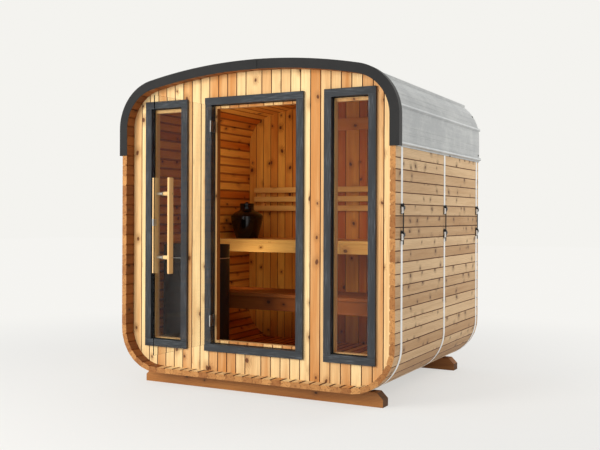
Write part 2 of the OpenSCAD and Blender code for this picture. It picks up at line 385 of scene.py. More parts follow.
def cedarFinish(name, pale, deep, knot, knots, gloss=0.55, streak=0.22):
    b = nodeBench(name)
    pale, deep, knot = paint(pale), paint(deep), paint(knot)
    place = b.grain()
    board = b.math("FLOOR", place[0])
    across = b.math("FRACT", place[0])
    dice = b.chances(board)
    along = b.math("MULTIPLY_ADD", dice[0], 37.0, place[1])
    shift = b.math("MULTIPLY", dice[1], 9.0)
    spot = b.combine(b.math("ADD", across, shift), along, b.math("MULTIPLY", board, 0.37))
    # knots: scattered cell points, some kept, each with its own size
    cells = b.stretch(spot, (knots["across"], knots["along"], 0.0))
    dots = b.feed(b.put("TexVoronoi", voronoi_dimensions="2D"), Vector=cells, Scale=1.0, Randomness=0.9)
    away = b.feed(b.put("VectorMath", operation="SUBTRACT"), i0=cells, i1=dots.outputs["Position"])
    kept = b.splitColour(dots)
    inMetres = (knots["slim"] / knots["across"], knots["short"] / knots["along"], 0.0)
    real = b.split(b.stretch(away.outputs[0], inMetres))
    lean = b.math("MULTIPLY", b.math("SUBTRACT", kept[2], 0.5), knots["lean"])
    reach = b.reach(b.combine(real[0], b.math("MULTIPLY_ADD", real[0], lean, real[1])))
    rag = b.noise(spot, 90.0, 2.0)
    reach = b.math("MULTIPLY_ADD", b.math("SUBTRACT", rag, 0.5), 0.007, reach)
    size = b.math("MULTIPLY_ADD", kept[1], knots["spread"], knots["least"])
    size = b.math("MULTIPLY", size, b.math("LESS_THAN", kept[0], knots["share"]))
    reach = b.math("DIVIDE", reach, b.math("ADD", size, 0.0001))
    knotCore = b.span(reach, 1.0, 0.6)
    knotHalo = b.span(reach, 3.4, 0.9)
    # growth lines that wander and swing round the knots
    wander = b.noise(b.stretch(spot, (7.0, 0.9, 1.0)), 1.0, 3.0, 0.45)
    swing = b.math("MULTIPLY", knotHalo, 0.016)
    ringSpot = b.math("ADD", b.math("MULTIPLY_ADD", wander, 0.075, across), swing)
    ring = b.span(b.math("SINE", b.math("MULTIPLY", ringSpot, 2 * math.pi / 0.0085)), -0.2, 1.0)
    fibre = b.noise(b.stretch(spot, (330.0, 6.0, 1.0)), 1.0, 3.0, 0.65)
    cloud = b.noise(b.stretch(spot, (24.0, 1.6, 1.0)), 1.0)
    tone = b.math("POWER", dice[2], 1.25)
    tone = b.math("MULTIPLY_ADD", b.math("SUBTRACT", cloud, 0.5), 1.1, tone, clamp=True)
    lines = b.math("MULTIPLY", ring, b.math("MULTIPLY_ADD", cloud, 0.7, 0.25))
    dark = shade(deep, 0.55)
    colour = b.blend(tone, pale, deep)
    colour = b.darken(lines, streak * 1.6, colour, dark)
    colour = b.darken(b.span(fibre, 0.4, 0.75), streak, colour, dark)
    colour = b.darken(knotHalo, 0.5, colour, dark)
    colour = b.darken(knotCore, 0.92, colour, knot)
    height = b.math("ADD", b.math("MULTIPLY", fibre, 0.6), b.math("MULTIPLY_ADD", ring, 0.4, knotCore))
    rough = b.math("MULTIPLY_ADD", fibre, 0.25, gloss - 0.1)
    return b.finish(Base_Color=colour, Roughness=rough, Normal=b.bump(height, 0.35, 0.0012))


def endFinish(name, pale, deep):
    # sawn board ends: rings round a point outside the board
    b = nodeBench(name)
    pale, deep = paint(pale), paint(deep)
    place = b.grain()
    across = b.math("SUBTRACT", b.math("FRACT", place[0]), 0.5)
    dice = b.chances(b.math("FLOOR", place[0]))
    heart = b.math("MULTIPLY_ADD", dice[0], 0.1, -0.05)
    depth = b.math("MULTIPLY_ADD", dice[1], 0.06, 0.03)
    spot = b.combine(b.math("ADD", across, heart), b.math("ADD", place[1], depth))
    wobble = b.noise(spot, 30.0, 2.0)
    reach = b.math("MULTIPLY_ADD", wobble, 0.006, b.reach(spot))
    ring = b.span(b.math("SINE", b.math("MULTIPLY", reach, 2 * math.pi / 0.0034)), -0.3, 1.0)
    saw = b.noise(spot, 420.0, 2.0, 0.7)
    cloud = b.math("MULTIPLY", b.math("SUBTRACT", wobble, 0.4), 0.8)
    blots = b.noise(b.combine(place[0], place[1]), 75.0, 2.0, 0.6)
    dark = shade(deep, 0.5)
    colour = b.blend(b.math("MULTIPLY_ADD", dice[2], 0.7, cloud, clamp=True), pale, deep)
    colour = b.darken(ring, 0.42, colour, dark)
    colour = b.darken(b.span(saw, 0.5, 0.8), 0.35, colour, dark)
    colour = b.darken(b.span(blots, 0.52, 0.68), 0.6, colour, dark)
    height = b.math("ADD", saw, b.math("MULTIPLY", ring, 0.5))
    return b.finish(Base_Color=colour, Roughness=0.78, Normal=b.bump(height, 0.4, 0.001))


def sheetFinish(name, colour, other, metal, rough, toothScale, bumpAmount, spangle=0.0):
    # coated or bare sheet metal: soft blotches, fine tooth, a little rolled streaking
    b = nodeBench(name)
    spot = b.put("TexCoord").outputs["Object"]
    blotch = b.noise(spot, 5.0, 4.0, 0.6)
    streaks = b.noise(b.stretch(spot, (60.0, 3.0, 60.0)), 1.0, 2.0, 0.6)
    tooth = b.noise(spot, toothScale, 2.0, 0.6)
    share = b.math("ADD", b.math("MULTIPLY", blotch, 0.7), b.math("MULTIPLY", streaks, 0.3))
    share = b.span(share, 0.32, 0.68)
    if spangle:
        fleck = b.splitColour(b.feed(b.put("TexVoronoi"), Vector=spot, Scale=75.0))[0]
        share = b.math("MULTIPLY_ADD", b.math("SUBTRACT", fleck, 0.5), spangle, share, clamp=True)
    roughs = b.math("MULTIPLY_ADD", b.math("ADD", blotch, tooth), 0.14, rough - 0.14)
    return b.finish(Base_Color=b.blend(share, paint(colour), paint(other)), Metallic=metal, Roughness=roughs,
                    Normal=b.bump(tooth, bumpAmount, 0.0006))


def paintedFinish(name, colour, worn):
    # paint on planed timber: the grain shows through as fine paler flecks
    b = nodeBench(name)
    place = b.grain()
    spot = b.combine(place[0], place[1])
    fibre = b.noise(b.stretch(spot, (260.0, 9.0, 1.0)), 1.0, 3.0, 0.65)
    patch = b.noise(b.stretch(spot, (14.0, 2.2, 1.0)), 1.0, 2.0)
    fleck = b.math("MULTIPLY", b.span(fibre, 0.46, 0.68), b.span(patch, 0.36, 0.62))
    colours = b.darken(fleck, 0.85, paint(colour), paint(worn))
    roughs = b.math("MULTIPLY_ADD", fibre, 0.16, 0.34)
    return b.finish(Base_Color=colours, Roughness=roughs, Normal=b.bump(fibre, 0.3, 0.0008))


def glassFinish(name, tint, share):
    # clear pane that lets the lamps through to the room behind
    b = nodeBench(name)
    pane = b.feed(b.put("BsdfPrincipled"), Base_Color=tint, Transmission_Weight=1.0, IOR=1.24, Roughness=0.0)
    clear = b.feed(b.put("BsdfTransparent"), Color=shade(tint, share))
    return b.close(b.mixed(b.onRays("Is Shadow Ray", "Is Diffuse Ray"), pane, clear))


# knots: cells a metre across and along, share of cells used, least and extra radius, shape and lean
roomKnots = {"across": 9.0, "along": 4.2, "share": 0.55, "least": 0.007, "spread": 0.012,
             "slim": 1.0, "short": 0.8, "lean": 0.6}
boardKnots = {**roomKnots, "across": 10.0, "along": 3.4, "share": 0.5, "least": 0.006, "spread": 0.010,
              "short": 0.72}
skidKnots = {**roomKnots, "along": 3.6, "share": 0.5, "least": 0.006, "spread": 0.01}
handleKnots = {**roomKnots, "across": 6.0, "along": 2.0, "share": 0.1, "least": 0.003, "spread": 0.004}
staveKnots = {"across": 15.0, "along": 6.6, "share": 0.46, "least": 0.006, "spread": 0.0095,
              "slim": 0.92, "short": 0.95, "lean": 1.1}
finishes = {
    "boards": cedarFinish("boardCedar", (252, 222, 164), (206, 140, 76), (92, 46, 18), boardKnots, 0.5, 0.3),
    "staves": cedarFinish("staveCedar", (230, 194, 148), (186, 142, 96), (84, 48, 22), staveKnots, 0.62, 0.26),
    "room": cedarFinish("roomCedar", (255, 182, 74), (208, 104, 20), (80, 28, 4), roomKnots, 0.5, 0.34),
    "roomSeam": cedarFinish("roomSeamCedar", (196, 118, 44), (150, 78, 20), (60, 22, 4), roomKnots, 0.6, 0.3),
    # a darker copy of the bench cedar: painted shade on the lower bench, which sits in shade under the upper
    # bench
    "lowBench": cedarFinish("lowBenchShadeCedar", (168, 92, 30), (132, 62, 14), (56, 20, 4), roomKnots, 0.5, 0.34),
    # a darker copy of the board cedar: painted shade on the front ledges of the top and left staves and on the
    # door jambs
    "eave": cedarFinish("paintedShadeCedar", (162, 92, 32), (128, 66, 18), (64, 26, 6), boardKnots, 0.55, 0.3),
    "inside": cedarFinish("benchCedar", (248, 192, 102), (224, 137, 52), (96, 40, 8), roomKnots, 0.48, 0.3),
    "lining": cedarFinish("liningCedar", (250, 206, 140), (206, 132, 66), (92, 46, 18), boardKnots, 0.5, 0.3),
    "handle": cedarFinish("handleCedar", (250, 216, 158), (222, 168, 100), (150, 90, 46), handleKnots, 0.42),
    "skid": cedarFinish("skidTimber", (196, 136, 72), (140, 84, 38), (52, 26, 10), skidKnots, 0.6, 0.34),
    "joint": cedarFinish("jointCedar", (120, 72, 34), (82, 44, 20), (40, 20, 8), boardKnots, 0.7, 0.2),
    "ends": endFinish("endGrain", (212, 154, 92), (140, 82, 38)),
    "skidEnds": endFinish("skidEndGrain", (120, 78, 40), (80, 48, 22)),
    "charcoal": paintedFinish("charcoalPaint", (40, 43, 47), (92, 97, 102)),
    "trim": sheetFinish("trimPaint", (20, 20, 21), (30, 29, 29), 0.0, 0.5, 700.0, 0.15),
    "roof": sheetFinish("roofZinc", (174, 176, 176), (200, 201, 199), 0.45, 0.4, 500.0, 0.08, 0.3),
    # a paler zinc for painted highlights on the rib tops and on folds near the shoulders
    "crease": sheetFinish("highlightZinc", (204, 206, 205), (224, 225, 223), 0.2, 0.36, 500.0, 0.06),
    "band": sheetFinish("bandSteel", (240, 238, 232), (252, 250, 246), 0.15, 0.32, 600.0, 0.06),
    "fitting": sheetFinish("fittingSteel", (196, 194, 188), (222, 220, 214), 0.9, 0.32, 800.0, 0.06),
    "black": sheetFinish("blackPaint", (18, 18, 19), (28, 27, 28), 0.1, 0.4, 800.0, 0.12),
    "rubber": sheetFinish("blackRubber", (12, 12, 13), (20, 20, 21), 0.0, 0.7, 500.0, 0.2),
    "glaze": sheetFinish("blackGlaze", (10, 8, 7), (18, 13, 11), 0.0, 0.14, 40.0, 0.02),
    "pane": glassFinish("windowPane", (0.93, 0.93, 0.92, 1.0), 0.95),
    "door": glassFinish("doorPane", (0.90, 0.91, 0.90, 1.0), 0.95),
}
print("finishes mixed", len(finishes))

# camera at the viewing angle, first, so that everything can be judged through it
cameraSet = {"place": (2.9777, -5.0538, 1.2300), "turn": 0.48455, "tip": -0.0004, "roll": 0.00385,
             "lens": 50.45, "drop": -0.0149}
eye = bpy.data.objects.new("viewCamera", bpy.data.cameras.new("viewCamera"))
scene.collection.objects.link(eye)
eye.data.lens = cameraSet["lens"]
eye.data.sensor_width = 36.0
eye.data.shift_y = cameraSet["drop"]
aim = Euler((math.pi / 2 + cameraSet["tip"], 0, cameraSet["turn"])).to_matrix()
aim = aim @ Matrix.Rotation(cameraSet["roll"], 3, "Z")
eye.matrix_world = Matrix.Translation(cameraSet["place"]) @ aim.to_4x4()
eye.data.clip_end = 200
scene.camera = eye

# the shell's outline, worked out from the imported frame
floorBox, sideBox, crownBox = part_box("shell_floor"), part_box("shell_side_right"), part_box("shell_ceiling")
shell = {"half": sideBox[1].x, "thick": floorBox[1].z - floorBox[0].z, "under": floorBox[0].z,
         "cornerX": floorBox[1].x, "cornerZ": sideBox[0].z, "shoulderZ": sideBox[1].z,
         "front": floorBox[0].y, "rear": floorBox[1].y, "top": crownBox[1].z, "shoulderRadius": 0.322}
shoulderX = shell["half"] - shell["shoulderRadius"]
crownRise = shell["top"] - shell["shoulderZ"]
crownRadius = shoulderX ** 2 + crownRise ** 2 - shell["shoulderRadius"] ** 2
crownRadius /= 2 * (crownRise - shell["shoulderRadius"])
crownZ = shell["top"] - crownRadius
crownAngle = math.asin(shoulderX / (crownRadius - shell["shoulderRadius"]))
cornerRadius = shell["half"] - shell["cornerX"]


def outlineRuns():
    # straight and curved runs, anticlockwise from the left end of the floor
    quarter = math.pi / 2
    return [
        ("line", (-shell["cornerX"], shell["under"]), (shell["cornerX"], shell["under"])),
        ("arc", (shell["cornerX"], shell["cornerZ"]), cornerRadius, -quarter, 0.0),
        ("line", (shell["half"], shell["cornerZ"]), (shell["half"], shell["shoulderZ"])),
        ("arc", (shoulderX, shell["shoulderZ"]), shell["shoulderRadius"], 0.0, quarter - crownAngle),
        ("arc", (0.0, crownZ), crownRadius, quarter - crownAngle, quarter + crownAngle),
        ("arc", (-shoulderX, shell["shoulderZ"]), shell["shoulderRadius"], quarter + crownAngle, 2 * quarter),
        ("line", (-shell["half"], shell["shoulderZ"]), (-shell["half"], shell["cornerZ"])),
        ("arc", (-shell["cornerX"], shell["cornerZ"]), cornerRadius, 2 * quarter, 3 * quarter),
    ]


def outlinePoints(step=0.008):
    points, runLengths = [], []
    for run in outlineRuns():
        if run[0] == "line":
            length = math.dist(run[1], run[2])
        else:
            length = run[2] * (run[4] - run[3])
        count = max(2, int(length / step))
        for k in range(count):
            share = k / count
            if run[0] == "line":
                points.append([run[1][i] + (run[2][i] - run[1][i]) * share for i in (0, 1)])
            else:
                angle = run[3] + (run[4] - run[3]) * share
                points.append([run[1][0] + run[2] * math.cos(angle), run[1][1] + run[2] * math.sin(angle)])
        runLengths.append(length)
    points.append(list(points[0]))
    return points, runLengths


outline, runLengths = outlinePoints()
# a little past the start, so that the last stave has path under it
outline += [[outline[0][0] + 0.01 * k, outline[0][1]] for k in (1, 2, 3)]
pathData = bpy.data.curves.new("shellPath", "CURVE")
pathData.dimensions = "2D"
spline = pathData.splines.new("POLY")
spline.points.add(len(outline) - 1)
for point, (x, z) in zip(spline.points, outline):
    point.co = (x, z, 0, 1)
shellPath = bpy.data.objects.new("shellPath", pathData)
scene.collection.objects.link(shellPath)

# the front's frames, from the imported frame
doorRails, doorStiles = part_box("door_frame_rails"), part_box("door_frame_stiles")
windowRails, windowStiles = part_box("window_rails"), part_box("window_stiles")
frameBar = doorStiles[0].z - doorRails[0].z
windowInner = -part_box("front_wall_left_pier")[0].x

# one stave: bead on one long edge, cove on the other, chamfers in and out
staveSet = {"width": 0.0732, "gap": 0.0012, "bead": 0.0085, "outerChamfer": 0.0028, "innerChamfer": 0.0085,
            "beadRows": [0.16, 0.28, 0.4, 0.5, 0.6, 0.72, 0.84], "startBack": 0.7618}
# the outer faces of the walls, along the stave's own length
ledgeCuts = (-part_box("back_wall")[1].y, -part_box("front_wall_door_infill")[0].y)


def modelStave():
    half = (staveSet["width"] - staveSet["gap"]) / 2
    thick = shell["thick"]
    rows = staveSet["beadRows"]
    stave = startBlock("staveModel", (-half, 0, -shell["rear"]), (half, thick, -shell["front"]))
    sliceThrough(stave, [thick * r for r in rows], 1)
    for r in rows[1:-1]:
        out = staveSet["bead"] * math.sin(math.pi * (r - rows[0]) / (rows[-1] - rows[0]))
        movePoints(stave, lambda p: abs(p.y - thick * r) < 0.0002, (out, 0, 0))
    for y, width in ((0, staveSet["outerChamfer"]), (thick, staveSet["innerChamfer"])):
        bevelEdges(stave, lambda a, b: near(a.y, y) and near(b.y, y) and abs(a.z - b.z) > 0.5, width)
    sliceThrough(stave, ledgeCuts, 2)
    return stave


roofNodes = ["shell_shoulder_right", "shell_ceiling", "shell_shoulder_left"]
staveRuns = [
    # name, nodes, staves, runs of the outline it covers, its end past them, finish of its front ledge
    ("stavesFloor", ["shell_floor"], 20, 0, shell["cornerX"] + 0.7022, "boards"),
    ("stavesCornerRight", ["shell_corner_right"], 8, 2, 0.0214, "boards"),
    ("stavesSideRight", ["shell_side_right"], 19, 3, -0.0458, "boards"),
    # the top and left runs give their front ledge the darker cedar, as painted shade
    ("stavesTop", roofNodes, 36, 6, 0.0458, "eave"),
    ("stavesSideLeft", ["shell_side_left"], 19, 7, -0.0214, "eave"),
    ("stavesCornerLeft", ["shell_corner_left"], 7, 8, 0.0032, "eave"),
]


def layStaves():
    model = modelStave()
    start = shell["cornerX"] - staveSet["startBack"]
    for name, replaced, count, runs, past, ledge in staveRuns:
        end = sum(runLengths[:runs]) + past
        pitch = (end - start) / count
        widen = Matrix.Diagonal((pitch / staveSet["width"], 1, 1, 1))
        row = []
        for k in range(count):
            stave = twin(model, "stave", matrix=Matrix.Translation((start + pitch * (k + 0.5), 0, 0)) @ widen)
            row.append(markGrain(stave, 2, 0, roomSide=1, jointed=True, ledge=ledgeCuts))
        start = end
        row = joined(row, name)
        modify(row, "CURVE", object=shellPath, deform_axis="POS_X")
        row.data.transform(Matrix.Rotation(math.pi / 2, 4, "X"))
        smooth(row, 20)
        # the ledge seams of the top and left runs take the same painted shade
        seam = "joint" if ledge == "boards" else "eave"
        finishPiece(row, f"staves ends room joint {ledge} roomSeam {seam}", "stave_wood", *replaced)
    discard(model, shellPath)


layStaves()
print("staves laid")

# vertical tongued boards of the front and back walls
wallSet = {"centre": 0.1276, "pitch": 0.0749, "side": 13, "gap": 0.0012, "groove": 0.003,
           "tongue": 0.006, "tongueHalf": 0.005, "tuck": 0.0008, "spare": 0.02, "through": 0.03,
           "shadedJambBoard": 870.5}


def modelBoard(width, low, high, y0, y1, tongue):
    half = (width - wallSet["gap"]) / 2
    board = startBlock("boardModel", (-half, y0, low), (half, y1, high))
    for y in (y0, y1):
        bevelEdges(board, lambda a, b: near(a.y, y) and near(b.y, y) and abs(a.z - b.z) > 0.3,
                   wallSet["groove"])
    if tongue:
        middle = (y0 + y1) / 2
        sliceThrough(board, [middle - wallSet["tongueHalf"], middle + wallSet["tongueHalf"]], 1)
        for side, out in ((1, wallSet["tongue"]), (-1, wallSet["tongue"] + wallSet["tuck"])):
            drawOut(board, lambda c, n: n.x * side > 0.9 and abs(c.y - middle) < 0.003, (out, 0, 0))
    return board


def boardRow(name, low, high, y0, y1, tongue=True, roomSide=0):
    wide = modelBoard(wallSet["centre"], low, high, y0, y1, tongue)
    narrow = modelBoard(wallSet["pitch"], low, high, y0, y1, tongue)
    row = [markGrain(twin(wide, "board"), 2, 0, roomSide=roomSide, jointed=True)]
    for side in (-1, 1):
        for k in range(wallSet["side"]):
            x = side * (wallSet["centre"] / 2 + wallSet["pitch"] * (k + 0.5))
            row.append(markGrain(twin(narrow, "board", (x, 0, 0)), 2, 0, roomSide=roomSide, jointed=True))
    discard(wide, narrow)
    return joined(row, name)


def layWalls():
    frontBox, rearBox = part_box("front_wall_door_infill"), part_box("back_wall")
    z0, z1 = rearBox[0].z - wallSet["spare"], rearBox[1].z + wallSet["spare"]
    through = wallSet["through"]
    for name, box, front in (("frontBoards", frontBox, True), ("rearBoards", rearBox, False)):
        row = boardRow(name, z0, z1, box[0].y, box[1].y, roomSide=1 if front else -1)
        cutter = nodeCopy("back_wall", through)
        shift = (box[0].y + box[1].y) / 2 - (rearBox[0].y + rearBox[1].y) / 2
        cutter.data.transform(Matrix.Translation((0, shift, 0)))
        cutBy(row, cutter, "INTERSECT")
        replaced = ["back_wall"]
        if front:
            replaced = [n for n in nodes if n.startswith("front_wall_")]
            for x0, x1 in ((doorRails[0].x, doorRails[1].x), (windowRails[0].x, -windowInner),
                           (windowInner, windowRails[1].x)):
                hole = startBlock("hole", (x0, box[0].y - through, doorRails[0].z),
                                  (x1, box[1].y + through, doorRails[1].z))
                cutBy(row, hole, "DIFFERENCE")
        finishPiece(row, "boards ends room joint boards roomSeam", "board_wood", *replaced)


layWalls()
print("walls boarded")


def layLinings():
    # short boards cut to the rebates behind the door frame and the windows
    for name, node in (("doorLining", "door_lining"), ("windowLinings", "window_linings")):
        low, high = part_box(node)
        row = boardRow(name, low.z - 0.01, high.z + 0.01, low.y, high.y, tongue=False)
        cutBy(row, nodeCopy(node, 0.02), "INTERSECT")
        layer = row.data.uv_layers["grain"]
        for face in row.data.polygons:
            if abs(face.normal.x) > 0.7 and node == "door_lining":
                # the jambs take the darker cedar of slot 2 and one board's tone, as painted shade
                face.material_index = 2
                for loop in face.loop_indices:
                    p = row.data.vertices[row.data.loops[loop].vertex_index].co
                    layer.data[loop].uv = (wallSet["shadedJambBoard"] + p.y - low.y, p.z)
        finishPiece(row, "lining ends eave lining", "board_wood", node)


headSet = {"boards": 3, "drop": 0.028, "below": 0.0085, "edge": 0.009, "gap": 0.0004, "ease": 0.001}


def paneSpan(side):
    # clear width between the upright bars of one window
    return sorted((side * (windowInner + frameBar), side * (windowRails[1].x - frameBar)))


def capWindows():
    # a head board hangs below the bars inside each window
    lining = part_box("window_linings")
    top = windowStiles[1].z
    boards = []
    for side in (-1, 1):
        x0, x1 = paneSpan(side)
        width = (x1 - x0 - 2 * headSet["edge"]) / headSet["boards"]
        for k in range(headSet["boards"]):
            start = x0 + headSet["edge"] + width * k
            low = (start + headSet["gap"], lining[0].y + 0.001, top - headSet["drop"])
            high = (start + width - headSet["gap"], lining[1].y - 0.002, top - headSet["below"])
            boards.append(plank("headBoard", low, high, 2, 0, headSet["ease"]))
    finishPiece(joined(boards, "windowHeads"), "lining", "board_wood")


layLinings()
capWindows()
print("linings set")

benchSet = {"boards": {"upper_bench": 6, "lower_bench": 5}, "gap": 0.009, "round": 0.0035,
            "bearers": (-0.9, -0.3, 0.3, 0.9), "bearerHalf": 0.022, "bearerIn": 0.03, "bearerDeep": 0.06,
            "split": 0.16, "splitGap": 0.0004}
slatSet = {"tall": 0.048, "thick": 0.022, "round": 0.004, "uprights": (-0.88, -0.3, 0.3, 0.88)}


def setBench(rows, name, node):
    # the lower bench takes the darker cedar as painted shade
    look = "lowBench" if node.startswith("lower") else "inside"
    finishPiece(joined(rows, name), f"{look} ends {look}", "bench_wood", node)


def layBenches():
    half = benchSet["bearerHalf"]
    for node, count in benchSet["boards"].items():
        low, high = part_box(node)
        pitch = (high.y - low.y + benchSet["gap"]) / count
        rows = []
        for k in range(count):
            y = low.y + pitch * k
            rows.append(plank("benchBoard", (low.x, y, low.z), (high.x, y + pitch - benchSet["gap"], high.z),
                              0, 1, benchSet["round"]))
        # bearers under the boards hold them together
        y, z = low.y + benchSet["bearerIn"], low.z - benchSet["bearerDeep"]
        for x in benchSet["bearers"]:
            rows.append(plank("bearer", (x - half, y, z), (x + half, high.y, low.z), 1, 0))
        setBench(rows, node.replace("_b", "B") + "Boards", node)
    gap = benchSet["splitGap"]
    for node in ("upper_bench_fascia", "lower_bench_fascia", "upper_batten"):
        low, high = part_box(node)
        ends = [low.x, high.x] if node == "upper_batten" else [low.x, benchSet["split"], high.x]
        rows = [plank("fascia", (a + gap, low.y, low.z), (b - gap, high.y, high.z), 0, 2)
                for a, b in zip(ends, ends[1:])]
        setBench(rows, node.split("_")[0] + node.split("_")[-1].capitalize(), node)
    low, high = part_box("backrest_slats")
    face = low.y + slatSet["thick"]
    rows = []
    tall = slatSet["tall"]
    for z in (low.z, (low.z + high.z - tall) / 2, high.z - tall):
        rows.append(plank("slat", (low.x, low.y, z), (high.x, face, z + tall), 0, 2, slatSet["round"]))
    for x in slatSet["uprights"]:
        rows.append(plank("upright", (x - half, face, low.z), (x + half, high.y, high.z), 2, 0))
    setBench(rows, "backrestSlats", "backrest_slats")


layBenches()
print("benches built")

frameSet = {"ease": 0.0016, "windowStrip": 0.005, "windowDeep": 0.004, "doorStrip": 0.004, "doorDeep": 0.006,
            "stripGap": 0.0002, "stripBevel": 0.002}


def fourBars(x0, x1, y0, y1, width, z0, z1):
    # low and high corners of the bars round an opening: bottom, top, left, right
    i0, i1 = z0 + width, z1 - width
    return (((x0, y0, z0), (x1, y1, i0)), ((x0, y0, i1), (x1, y1, z1)),
            ((x0, y0, i0), (x0 + width, y1, i1)), ((x1 - width, y0, i0), (x1, y1, i1)))


def frameBars(x0, x1, box):
    bars = []
    for low, high in fourBars(x0, x1, box[0].y, box[1].y, frameBar, doorRails[0].z, doorRails[1].z):
        along, across = (2, 0) if high[2] - low[2] > 0.5 else (0, 2)
        bars.append(plank("bar", low, high, along, across, frameSet["ease"]))
    return bars


def glazingStrips(x0, x1, y0, y1, width):
    strips = []
    for low, high in fourBars(x0, x1, y0, y1, width, doorStiles[0].z, doorStiles[1].z):
        strip = startBlock("strip", low, high)
        bevel = min(width * 0.4, frameSet["stripBevel"])
        bevelEdges(strip, lambda a, b: near(a.y, y0) and near(b.y, y0), bevel, 2)
        strips.append(strip)
    return strips


def layFrames():
    # bars with eased edges and a rubber strip round each pane
    doorBars = joined(frameBars(doorRails[0].x, doorRails[1].x, doorRails), "doorFrameBars")
    windowBars = joined(frameBars(windowInner, windowRails[1].x, windowRails)
                        + frameBars(-windowRails[1].x, -windowInner, windowRails), "windowFrameBars")
    for item, names in ((doorBars, ("door_frame_rails", "door_frame_stiles")),
                        (windowBars, ("window_rails", "window_stiles"))):
        smooth(item, 40)
        finishPiece(item, "charcoal", "charcoal_paint", *names)
    pane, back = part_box("window_glass")[0].y, doorRails[1].y
    spans = [(*paneSpan(side), pane, frameSet["windowDeep"], frameSet["windowStrip"]) for side in (-1, 1)]
    spans.append((doorStiles[0].x + frameBar, doorStiles[1].x - frameBar, back, frameSet["doorDeep"],
                  frameSet["doorStrip"]))
    strips = []
    for x0, x1, y, deep, width in spans:
        strips += glazingStrips(x0, x1, y - deep, y - frameSet["stripGap"], width)
    finishPiece(joined(strips, "glazingStrips"), "rubber", "charcoal_paint")


layFrames()
print("frames and strips set")

skidSet = {"cut": 0.045, "ease": 0.003}


def laySkids():
    for node in ("front_skid", "rear_skid"):
        low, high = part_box(node)
        skid = startBlock(node.replace("_s", "S"), low, high)
        bevelEdges(skid, lambda a, b: near(a.z, high.z) and near(b.z, high.z) and near(a.x, b.x),
                   skidSet["cut"])
        softenEdges(skid, skidSet["ease"], 2, 20)
        markGrain(skid, 0, 2)
        finishPiece(skid, "skid skidEnds skid", "skid_wood", node)


laySkids()
print("ground timbers cut")

handleSet = {"reach": 0.563, "middle": 1.163, "spread": 0.2065, "round": 0.004, "wood": (0.013, 0.065, 0.013),
             "steel": (-0.047, 0.005, 0.009), "collar": 0.014, "plug": 0.0052, "plugSides": (0.0782, -0.0602),
             "open": -93}


def layHandles():
    # bars run upright on the open door, with rounded edges
    for name, node in (("handleBarOuter", "handle_bar_outer"), ("handleBarInner", "handle_bar_inner")):
        low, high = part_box(node)
        bar = startBlock(name, low, high)
        softenEdges(bar, handleSet["round"], 3)
        markGrain(bar, 2, 1 if high.y - low.y > high.x - low.x else 0)
        smooth(bar, 40)
        finishPiece(bar, "handle", "handle_wood", node, body="door")


layHandles()

# radius and height of each ring of the jar, from its foot to the knob of its lid
jarSet = {"foot": 0.092, "rings": [
    (0.096, 0.006), (0.104, 0.03), (0.126, 0.108), (0.136, 0.152), (0.1415, 0.188), (0.138, 0.198),
    (0.124, 0.211), (0.100, 0.227), (0.074, 0.240), (0.063, 0.248), (0.0605, 0.256), (0.0600, 0.268),
    (0.0610, 0.282), (0.0625, 0.284), (0.0628, 0.296), (0.0615, 0.302), (0.052, 0.305), (0.020, 0.307),
    (0.013, 0.309), (0.012, 0.3145), (0.006, 0.3158)]}


def modelJar():
    # turned on a wheel: rings drawn up from a circle, then closed with a lid
    low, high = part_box("water_jug")
    x, y = (low.x + high.x) / 2, (low.y + high.y) / 2
    radius, height = jarSet["foot"], 0.0
    clearSelection()
    bpy.ops.mesh.primitive_circle_add(vertices=48, radius=radius, location=(x, y, low.z), fill_type="NGON")
    jar = bpy.context.object
    jar.name = "waterJar"
    openAll(jar)
    for r, z in jarSet["rings"]:
        bpy.ops.mesh.extrude_region_move(TRANSFORM_OT_translate={"value": (0, 0, z - height)})
        bpy.ops.transform.resize(value=(r / radius, r / radius, 1), center_override=(x, y, low.z + z))
        radius, height = r, z
    bpy.ops.mesh.select_all(action="SELECT")
    bpy.ops.mesh.normals_make_consistent(inside=False)
    leave()
    smooth(jar, 60)
    finishPiece(jar, "glaze", "black_gloss", "water_jug")


modelJar()
print("jar turned")

heaterSet = {"wallRound": 0.149, "rim": 0.012, "well": 0.035, "stripHeight": 0.909, "stripTall": 0.006,
             "stripOut": 0.0008, "plinthDrop": 0.165, "plinthLeft": 0.21, "plinthRight": 0.05,
             "plinthIn": 0.04}


def ovalColumn(name, low, high):
    column = startBlock(name, low, high)
    bevelEdges(column, lambda a, b: near(a.x, b.x) and near(a.y, b.y), heaterSet["wallRound"], 14)
    return column


def modelHeater():
    # oval column with a sunk top behind a rim, a steel strip near the top, and its plinth
    low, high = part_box("heater")
    plinthTop = shell["cornerZ"] - heaterSet["plinthDrop"]
    column = ovalColumn("heaterBody", (low.x, low.y, plinthTop), high)
    mergePoints(column, 0.0003)
    drawOut(column, lambda c, n: n.z > 0.9, (0, 0, -heaterSet["well"]), heaterSet["rim"])
    softenEdges(column, 0.002, 2, 50)
    smooth(column, 30)
    foot = startBlock("heaterPlinth", (low.x + heaterSet["plinthLeft"], low.y + heaterSet["plinthIn"], low.z),
                      (high.x - heaterSet["plinthRight"], high.y - heaterSet["plinthIn"], plinthTop))
    softenEdges(foot, 0.004, 2)
    out, z = heaterSet["stripOut"], heaterSet["stripHeight"]
    strip = ovalColumn("heaterStrip", (low.x - out, low.y - out, z),
                       (high.x + out, high.y + out, z + heaterSet["stripTall"]))
    softenEdges(strip, 0.0006, 1, 60)
    finishPiece(column, "black", "black_paint", "heater")
    finishPiece(foot, "black", "black_paint")
    finishPiece(strip, "fitting", "black_paint")


modelHeater()
print("heater built")

